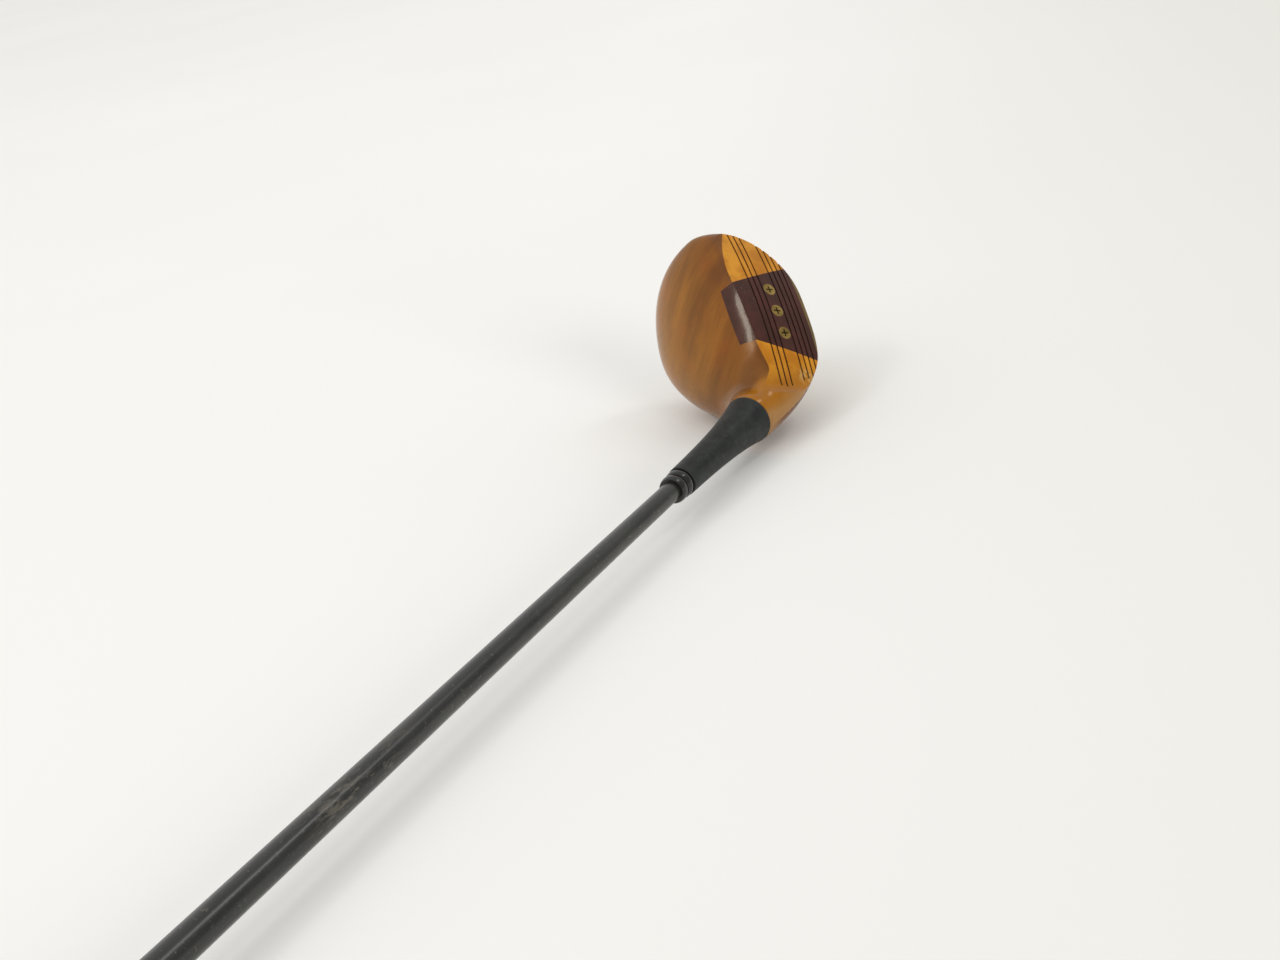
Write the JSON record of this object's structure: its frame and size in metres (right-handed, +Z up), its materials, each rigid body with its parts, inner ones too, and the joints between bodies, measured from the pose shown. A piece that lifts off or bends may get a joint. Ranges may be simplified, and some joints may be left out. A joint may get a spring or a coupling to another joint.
{
  "type": "golf driver",
  "caption": "Left-handed wooden driver lying down: lacquered block head, keystone face insert, brass plate and screws, black wound neck, dark tapered shaft, rubber grip.",
  "frame": {"origin": "on the surface that the club lies on, under the middle of its bounding box", "axes": "+X along the shaft from the head to the grip, +Y level and square to it, +Z up; the club lies on the back of its heel and the rim of its grip cap"},
  "size_m": [1.1204, 0.0928, 0.0868],
  "materials": {
    "wood": "amber-brown stain under gloss lacquer, golden face",
    "insert_fibre": "plum-red vulcanised fibre, lacquered",
    "brass": "aged brass, filed flush",
    "brass_plate": "brushed brass with scuffs",
    "lead": "dull cast lead",
    "graphite": "black graphite tube, satin with wear",
    "cork": "raw cork",
    "whipping_thread": "black thread under lacquer",
    "ferrule_plastic": "black celluloid",
    "paper_tape": "paper grip tape",
    "grip_rubber": "matt black rubber",
    "cap_plastic": "black moulded cap"
  },
  "bodies": {
    "root": {"head_block": "wood", "face_insert": "insert_fibre", "insert_screw_toe": "brass", "insert_screw_centre": "brass", "insert_screw_heel": "brass", "sole_plate": "brass_plate", "sole_screw_front_toe": "brass", "sole_screw_front_heel": "brass", "sole_screw_rear_toe": "brass", "sole_screw_rear_heel": "brass", "lead_plug": "lead", "shaft": "graphite", "shaft_tip_plug": "cork", "whipping": "whipping_thread", "ferrule": "ferrule_plastic", "grip_tape": "paper_tape", "grip_sleeve": "grip_rubber", "grip_cap": "cap_plastic"}
  },
  "joints": []
}
